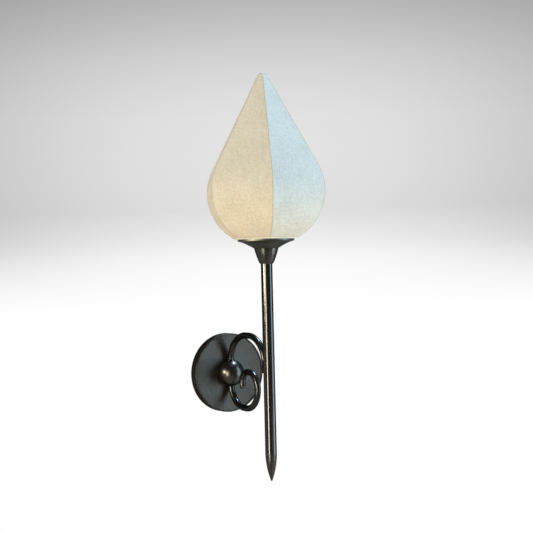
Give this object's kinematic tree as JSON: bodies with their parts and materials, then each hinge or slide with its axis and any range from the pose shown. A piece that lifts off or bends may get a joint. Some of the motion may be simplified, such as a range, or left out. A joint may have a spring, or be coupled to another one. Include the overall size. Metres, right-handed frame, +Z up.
{
  "type": "torch wall sconce",
  "caption": "Torch wall sconce: round wall plate with a ball hub, scrolled arm, upright pointed stem, flared dish and a faceted bud-shaped shade over a screw-in bulb.",
  "frame": {"origin": "middle of the wall plate's back, on the wall's surface, at the middle of the strap's slots", "axes": "+Z up along the stem, +Y into the wall, +X to the right as seen from the room"},
  "size_m": [0.1864, 0.2077, 0.5944],
  "materials": {
    "bronze": "oil-rubbed bronze powder coat, semi-gloss",
    "zinc": "zinc plated, satin",
    "green_paint": "green, satin",
    "copper": "bare copper",
    "brass": "plain brass",
    "porcelain": "glazed white porcelain, opaque",
    "black_insulation": "matt",
    "white_insulation": "matt",
    "solder": "satin",
    "black_glass": "gloss",
    "bulb_aluminium": "satin",
    "frosted_glass": "frosted",
    "parchment": "parchment laminate with a fine linen grain, matt",
    "cream_tape": "cream binding tape"
  },
  "bodies": {
    "bracket": {"wall_plate": "bronze", "mounting_strap": "zinc", "rim_nuts": "zinc", "lock_screws": "zinc", "ground_screw": "green_paint", "ground_wire": "copper", "hub_ball": "bronze", "hub_washer": "zinc", "hub_nut": "zinc", "scroll_arm": "bronze", "lower_scroll": "bronze", "stem": "bronze", "stem_point": "bronze", "stem_bushing": "brass", "neck_cup": "bronze", "shade_dish": "bronze", "clamp_pipe": "zinc", "pipe_nut": "zinc", "holder_cap": "brass", "holder_body": "porcelain", "screw_shell": "brass", "centre_contact": "brass", "terminal_screws": "brass", "line_wire": "black_insulation", "neutral_wire": "white_insulation", "wire_tips": "copper"},
    "shade": {"panel_1": "parchment", "panel_2": "parchment", "panel_3": "parchment", "panel_4": "parchment", "panel_5": "parchment", "panel_6": "parchment", "edge_trim": "cream_tape", "frame_ring": "zinc", "frame_ribs": "zinc", "apex_hub": "zinc"},
    "bulb_foot": {"bulb_contact": "solder"},
    "bulb": {"bulb_insulator": "black_glass", "bulb_cap": "bulb_aluminium", "bulb_glass": "frosted_glass"}
  },
  "joints": [
    {"name": "shade_lift", "type": "slide", "parent": "bracket", "child": "shade", "axis": [0, 0, 1], "range_m": [0, 0.14]},
    {"name": "bulb_rise", "type": "slide", "parent": "bracket", "child": "bulb_foot", "axis": [0, 0, 1], "range_m": [0, 0.0146]},
    {"name": "bulb_turn", "type": "hinge", "parent": "bulb_foot", "child": "bulb", "pos_m": [0, -0.124, 0.225], "axis": [0, 0, 1], "range_deg": [0, 1440]}
  ],
  "couplings": [
    {"joint": "bulb_rise", "follows": "bulb_turn", "m_per_rad": 0.00057773}
  ]
}
